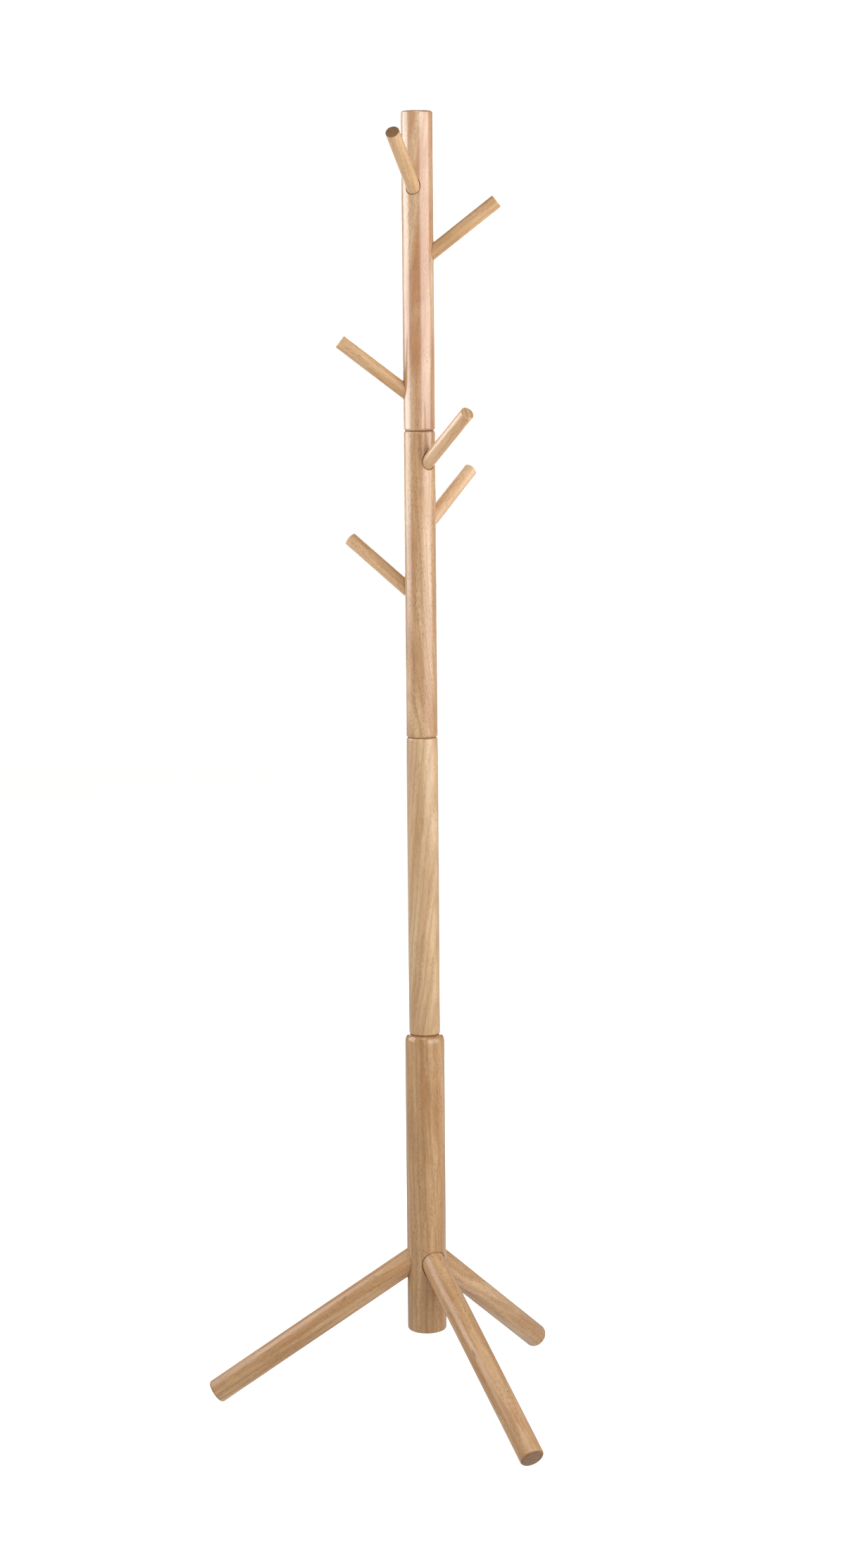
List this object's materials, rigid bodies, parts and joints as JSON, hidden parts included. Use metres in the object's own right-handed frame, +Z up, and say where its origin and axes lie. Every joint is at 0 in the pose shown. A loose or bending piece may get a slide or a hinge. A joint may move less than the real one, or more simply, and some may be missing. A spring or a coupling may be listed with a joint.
{
  "type": "standing coat rack",
  "caption": "Free-standing wooden coat rack: a turned post of screwed-together sections on splayed legs, with slanted pegs around its upper half for hanging coats and hats.",
  "frame": {"origin": "on the post's axis at floor level, under the tripod legs", "axes": "+Z up along the post, -Y towards the front, where the top front peg and the front leg point; +X to the viewer's right"},
  "size_m": [0.4739, 0.5294, 1.752],
  "materials": {
    "base_wood": "satin clear lacquer",
    "lower_pole_wood": "satin clear lacquer",
    "middle_pole_wood": "satin clear lacquer",
    "top_pole_wood": "satin clear lacquer",
    "leg_wood": "satin clear lacquer",
    "peg_wood": "satin clear lacquer, a little more matte",
    "stud_steel": "zinc-plated",
    "insert_alloy": "cast, yellow-passivated"
  },
  "bodies": {
    "base": {"base_post": "base_wood", "base_post_insert": "insert_alloy", "leg_left_insert": "insert_alloy", "leg_front_insert": "insert_alloy", "leg_back_insert": "insert_alloy"},
    "lower_pole_stud": {"lower_pole_stud": "stud_steel"},
    "lower_pole": {"lower_pole": "lower_pole_wood", "lower_pole_insert": "insert_alloy"},
    "middle_pole_stud": {"middle_pole_stud": "stud_steel"},
    "middle_pole": {"middle_pole": "middle_pole_wood", "middle_pole_insert": "insert_alloy", "peg_middle_front_insert": "insert_alloy", "peg_middle_right_insert": "insert_alloy", "peg_middle_left_insert": "insert_alloy"},
    "top_pole_stud": {"top_pole_stud": "stud_steel"},
    "top_pole": {"top_pole": "top_pole_wood", "peg_top_front_insert": "insert_alloy", "peg_top_right_insert": "insert_alloy", "peg_top_left_insert": "insert_alloy"},
    "leg_left_stud": {"leg_left_stud": "stud_steel"},
    "leg_left": {"leg_left": "leg_wood"},
    "leg_front_stud": {"leg_front_stud": "stud_steel"},
    "leg_front": {"leg_front": "leg_wood"},
    "leg_back_stud": {"leg_back_stud": "stud_steel"},
    "leg_back": {"leg_back": "leg_wood"},
    "peg_top_front_stud": {"peg_top_front_stud": "stud_steel"},
    "peg_top_front": {"peg_top_front": "peg_wood"},
    "peg_top_right_stud": {"peg_top_right_stud": "stud_steel"},
    "peg_top_right": {"peg_top_right": "peg_wood"},
    "peg_top_left_stud": {"peg_top_left_stud": "stud_steel"},
    "peg_top_left": {"peg_top_left": "peg_wood"},
    "peg_middle_front_stud": {"peg_middle_front_stud": "stud_steel"},
    "peg_middle_front": {"peg_middle_front": "peg_wood"},
    "peg_middle_right_stud": {"peg_middle_right_stud": "stud_steel"},
    "peg_middle_right": {"peg_middle_right": "peg_wood"},
    "peg_middle_left_stud": {"peg_middle_left_stud": "stud_steel"},
    "peg_middle_left": {"peg_middle_left": "peg_wood"}
  },
  "joints": [
    {"name": "lower_pole_lift", "type": "slide", "parent": "base", "child": "lower_pole_stud", "axis": [0, 0, 1], "range_m": [0, 0.018]},
    {"name": "lower_pole_screw", "type": "hinge", "parent": "lower_pole_stud", "child": "lower_pole", "pos_m": [0, 0, 0.5215], "axis": [0, 0, 1], "range_deg": [0, 4320]},
    {"name": "middle_pole_lift", "type": "slide", "parent": "lower_pole", "child": "middle_pole_stud", "axis": [0, 0, 1], "range_m": [0, 0.018]},
    {"name": "middle_pole_screw", "type": "hinge", "parent": "middle_pole_stud", "child": "middle_pole", "pos_m": [0, 0, 0.9285], "axis": [0, 0, 1], "range_deg": [0, 4320]},
    {"name": "top_pole_lift", "type": "slide", "parent": "middle_pole", "child": "top_pole_stud", "axis": [0, 0, 1], "range_m": [0, 0.018]},
    {"name": "top_pole_screw", "type": "hinge", "parent": "top_pole_stud", "child": "top_pole", "pos_m": [0, 0, 1.337], "axis": [0, 0, 1], "range_deg": [0, 4320]},
    {"name": "leg_left_lift", "type": "slide", "parent": "base", "child": "leg_left_stud", "axis": [-0.8184, 0.0357, -0.5736], "range_m": [0, 0.00875]},
    {"name": "leg_left_screw", "type": "hinge", "parent": "leg_left_stud", "child": "leg_left", "pos_m": [0, 0, 0.21828], "axis": [-0.8184, 0.0357, -0.5736], "range_deg": [0, 2520]},
    {"name": "leg_front_lift", "type": "slide", "parent": "base", "child": "leg_front_stud", "axis": [0.3782, -0.7266, -0.5736], "range_m": [0, 0.00875]},
    {"name": "leg_front_screw", "type": "hinge", "parent": "leg_front_stud", "child": "leg_front", "pos_m": [0, 0, 0.21828], "axis": [0.3782, -0.7266, -0.5736], "range_deg": [0, 2520]},
    {"name": "leg_back_lift", "type": "slide", "parent": "base", "child": "leg_back_stud", "axis": [0.4401, 0.6909, -0.5736], "range_m": [0, 0.00875]},
    {"name": "leg_back_screw", "type": "hinge", "parent": "leg_back_stud", "child": "leg_back", "pos_m": [0, 0, 0.21828], "axis": [0.4401, 0.6909, -0.5736], "range_deg": [0, 2520]},
    {"name": "peg_top_front_lift", "type": "slide", "parent": "top_pole", "child": "peg_top_front_stud", "axis": [-0.2382, -0.7556, 0.6101], "range_m": [0, 0.012]},
    {"name": "peg_top_front_screw", "type": "hinge", "parent": "peg_top_front_stud", "child": "peg_top_front", "pos_m": [0, 0, 1.6404], "axis": [-0.2382, -0.7556, 0.6101], "range_deg": [0, 4320]},
    {"name": "peg_top_right_lift", "type": "slide", "parent": "top_pole", "child": "peg_top_right_stud", "axis": [0.7893, -0.0691, 0.6101], "range_m": [0, 0.012]},
    {"name": "peg_top_right_screw", "type": "hinge", "parent": "peg_top_right_stud", "child": "peg_top_right", "pos_m": [0, 0, 1.555], "axis": [0.7893, -0.0691, 0.6101], "range_deg": [0, 4320]},
    {"name": "peg_top_left_lift", "type": "slide", "parent": "top_pole", "child": "peg_top_left_stud", "axis": [-0.7893, -0.0691, 0.6101], "range_m": [0, 0.012]},
    {"name": "peg_top_left_screw", "type": "hinge", "parent": "peg_top_left_stud", "child": "peg_top_left", "pos_m": [0, 0, 1.3746], "axis": [-0.7893, -0.0691, 0.6101], "range_deg": [0, 4320]},
    {"name": "peg_middle_front_lift", "type": "slide", "parent": "middle_pole", "child": "peg_middle_front_stud", "axis": [0.4768, -0.6328, 0.6101], "range_m": [0, 0.012]},
    {"name": "peg_middle_front_screw", "type": "hinge", "parent": "peg_middle_front_stud", "child": "peg_middle_front", "pos_m": [0, 0, 1.2823], "axis": [0.4768, -0.6328, 0.6101], "range_deg": [0, 4320]},
    {"name": "peg_middle_right_lift", "type": "slide", "parent": "middle_pole", "child": "peg_middle_right_stud", "axis": [0.5198, 0.5979, 0.6101], "range_m": [0, 0.012]},
    {"name": "peg_middle_right_screw", "type": "hinge", "parent": "peg_middle_right_stud", "child": "peg_middle_right", "pos_m": [0, 0, 1.2008], "axis": [0.5198, 0.5979, 0.6101], "range_deg": [0, 4320]},
    {"name": "peg_middle_left_lift", "type": "slide", "parent": "middle_pole", "child": "peg_middle_left_stud", "axis": [-0.7151, 0.3411, 0.6101], "range_m": [0, 0.012]},
    {"name": "peg_middle_left_screw", "type": "hinge", "parent": "peg_middle_left_stud", "child": "peg_middle_left", "pos_m": [0, 0, 1.1114], "axis": [-0.7151, 0.3411, 0.6101], "range_deg": [0, 4320]}
  ],
  "couplings": [
    {"joint": "lower_pole_screw", "follows": "lower_pole_lift", "rad_per_m": 4188.8},
    {"joint": "middle_pole_screw", "follows": "middle_pole_lift", "rad_per_m": 4188.8},
    {"joint": "top_pole_screw", "follows": "top_pole_lift", "rad_per_m": 4188.8},
    {"joint": "leg_left_screw", "follows": "leg_left_lift", "rad_per_m": 5026.5},
    {"joint": "leg_front_screw", "follows": "leg_front_lift", "rad_per_m": 5026.5},
    {"joint": "leg_back_screw", "follows": "leg_back_lift", "rad_per_m": 5026.5},
    {"joint": "peg_top_front_screw", "follows": "peg_top_front_lift", "rad_per_m": 6283.2},
    {"joint": "peg_top_right_screw", "follows": "peg_top_right_lift", "rad_per_m": 6283.2},
    {"joint": "peg_top_left_screw", "follows": "peg_top_left_lift", "rad_per_m": 6283.2},
    {"joint": "peg_middle_front_screw", "follows": "peg_middle_front_lift", "rad_per_m": 6283.2},
    {"joint": "peg_middle_right_screw", "follows": "peg_middle_right_lift", "rad_per_m": 6283.2},
    {"joint": "peg_middle_left_screw", "follows": "peg_middle_left_lift", "rad_per_m": 6283.2}
  ]
}
